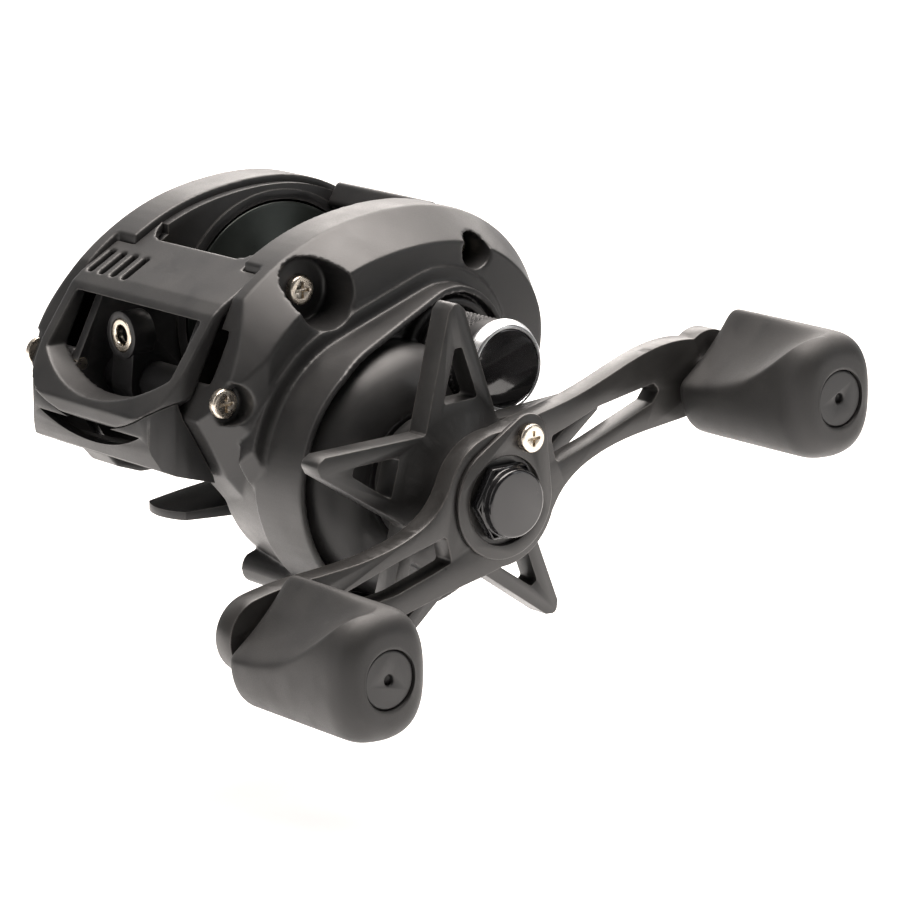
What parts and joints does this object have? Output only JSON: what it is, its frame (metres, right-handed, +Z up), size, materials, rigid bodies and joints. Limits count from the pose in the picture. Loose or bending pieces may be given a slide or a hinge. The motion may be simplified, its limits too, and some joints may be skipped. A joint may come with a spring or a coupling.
{
  "type": "baitcasting reel",
  "caption": "Low-profile baitcasting reel with a finned front hood, levelwind line guide, star drag, cast tension knob and paddle-knob crank.",
  "frame": {"origin": "centre of the foot's flat underside, on the mid-plane of the spool", "axes": "+X towards the rod tip, +Y towards the handle, +Z up, away from the rod"},
  "size_m": [0.1016, 0.1206, 0.0618],
  "materials": {
    "shell_plastic": "fine matt texture, charcoal",
    "frame_paint": "satin charcoal paint on an alloy frame",
    "foot_paint": "satin black",
    "arm_paint": "satin black",
    "star_plastic": "satin black",
    "grip_rubber": "soft matt rubber",
    "cap_plastic": "satin black",
    "knurl_black": "knurled, black anodised",
    "ring_silver": "polished ring",
    "inlay_gloss": "glossy black",
    "nut_black": "glossy black",
    "spool_anodised": "dark grey-green anodised",
    "rotor_aluminium": "thin spun cup",
    "steel": "turned steel",
    "screw_nickel": "nickel plated",
    "guide_cream": "pale champagne bar",
    "brass": "cut brass",
    "carbon": "woven carbon washer",
    "ring_champagne": "hard polished line ring",
    "carriage_plastic": "dark grey moulding",
    "bush_polymer": "pale bearing plastic",
    "magnet": "nickel-plated magnet"
  },
  "bodies": {
    "frame": {"frame": "frame_paint", "reel_foot": "foot_paint", "foot_screws": "screw_nickel", "front_hood": "shell_plastic", "gear_side_cover": "shell_plastic", "gear_cover_screws": "screw_nickel", "palm_side_cover": "shell_plastic", "palm_cover_screws": "screw_nickel", "guide_bar": "guide_cream", "worm_shield": "carriage_plastic", "worm_bushings": "bush_polymer", "spool_bearings": "steel", "drive_shaft_bearing": "steel", "anti_reverse_bearing": "steel", "yoke_posts": "steel", "yoke_springs": "steel"},
    "spool": {"spool": "spool_anodised", "spool_shaft": "steel", "spool_pin": "steel", "brake_rotor": "rotor_aluminium"},
    "yoke": {"clutch_yoke": "bush_polymer"},
    "pinion": {"pinion_gear": "brass"},
    "thumb": {"thumb_bar": "shell_plastic", "clutch_cam": "steel"},
    "crank": {"drive_shaft": "steel", "levelwind_drive_gear": "bush_polymer", "ratchet": "steel", "main_gear": "brass", "drag_washers": "carbon", "drag_metal_washers": "steel", "drag_springs": "steel", "clutch_sleeve": "steel", "arm_spacer": "steel", "handle_arm": "arm_paint", "handle_nut": "nut_black", "nut_retainer": "arm_paint", "retainer_screw": "screw_nickel", "knob_shafts": "steel"},
    "star": {"star_drag": "star_plastic", "star_nut": "steel"},
    "knob_1": {"knob_1": "grip_rubber", "knob_cap_1": "cap_plastic", "knob_bushes_1": "bush_polymer"},
    "knob_2": {"knob_2": "grip_rubber", "knob_cap_2": "cap_plastic", "knob_bushes_2": "bush_polymer"},
    "tension": {"tension_cap": "knurl_black", "tension_ring": "ring_silver", "tension_inlay": "inlay_gloss", "tension_shim": "bush_polymer"},
    "dial": {"brake_dial": "cap_plastic"},
    "magnets": {"magnet_holder": "cap_plastic", "magnets": "magnet"},
    "worm": {"worm_shaft": "steel", "worm_gear": "bush_polymer"},
    "carriage": {"line_guide": "carriage_plastic", "guide_ring": "ring_champagne", "pawl_cap": "steel"},
    "pawl": {"pawl": "brass"}
  },
  "joints": [
    {"name": "handle_turn", "type": "hinge", "parent": "frame", "child": "crank", "pos_m": [0.009, 0, 0.011], "axis": [0, 1, 0], "continuous": true},
    {"name": "spool_spin", "type": "hinge", "parent": "frame", "child": "spool", "pos_m": [-0.0037, 0, 0.0269], "axis": [0, 1, 0], "continuous": true},
    {"name": "yoke_lift", "type": "slide", "parent": "frame", "child": "yoke", "axis": [0, 1, 0], "range_m": [0, 0.0013], "deforming": ["yoke_springs"]},
    {"name": "pinion_spin", "type": "hinge", "parent": "yoke", "child": "pinion", "pos_m": [-0.0037, 0, 0.0269], "axis": [0, 1, 0], "continuous": true},
    {"name": "thumb_press", "type": "slide", "parent": "frame", "child": "thumb", "axis": [-0.6428, 0, -0.766], "range_m": [0, 0.004]},
    {"name": "worm_spin", "type": "hinge", "parent": "frame", "child": "worm", "pos_m": [0.0266, 0, 0.0206], "axis": [0, 1, 0], "continuous": true},
    {"name": "line_guide_slide", "type": "slide", "parent": "frame", "child": "carriage", "axis": [0, 1, 0], "range_m": [-0.0029, 0.0149]},
    {"name": "pawl_swivel", "type": "hinge", "parent": "carriage", "child": "pawl", "pos_m": [0.0266, -0.006, 0.017], "axis": [0, 0, 1], "range_deg": [-35, 35]},
    {"name": "star_drag_turn", "type": "hinge", "parent": "crank", "child": "star", "pos_m": [0.009, 0, 0.011], "axis": [0, 1, 0], "range_deg": [-360, 360]},
    {"name": "knob_1_spin", "type": "hinge", "parent": "crank", "child": "knob_1", "pos_m": [0.0518, 0.06, -0.00291], "axis": [0, 1, 0], "continuous": true},
    {"name": "knob_2_spin", "type": "hinge", "parent": "crank", "child": "knob_2", "pos_m": [-0.0338, 0.06, 0.02491], "axis": [0, 1, 0], "continuous": true},
    {"name": "tension_cap_turn", "type": "hinge", "parent": "frame", "child": "tension", "pos_m": [-0.0037, 0, 0.0269], "axis": [0, 1, 0], "range_deg": [-360, 360]},
    {"name": "brake_dial_turn", "type": "hinge", "parent": "frame", "child": "dial", "pos_m": [-0.0037, 0, 0.0269], "axis": [0, -1, 0], "range_deg": [0, 90]},
    {"name": "magnet_slide", "type": "slide", "parent": "frame", "child": "magnets", "axis": [0, 1, 0], "range_m": [0, 0.003]}
  ],
  "couplings": [
    {"joint": "spool_spin", "follows": "handle_turn", "ratio": -6.4},
    {"joint": "pinion_spin", "follows": "handle_turn", "ratio": -6.4},
    {"joint": "worm_spin", "follows": "handle_turn", "ratio": -3},
    {"joint": "yoke_lift", "follows": "thumb_press", "ratio": 0.325},
    {"joint": "magnet_slide", "follows": "brake_dial_turn", "m_per_rad": 0.0019097}
  ]
}
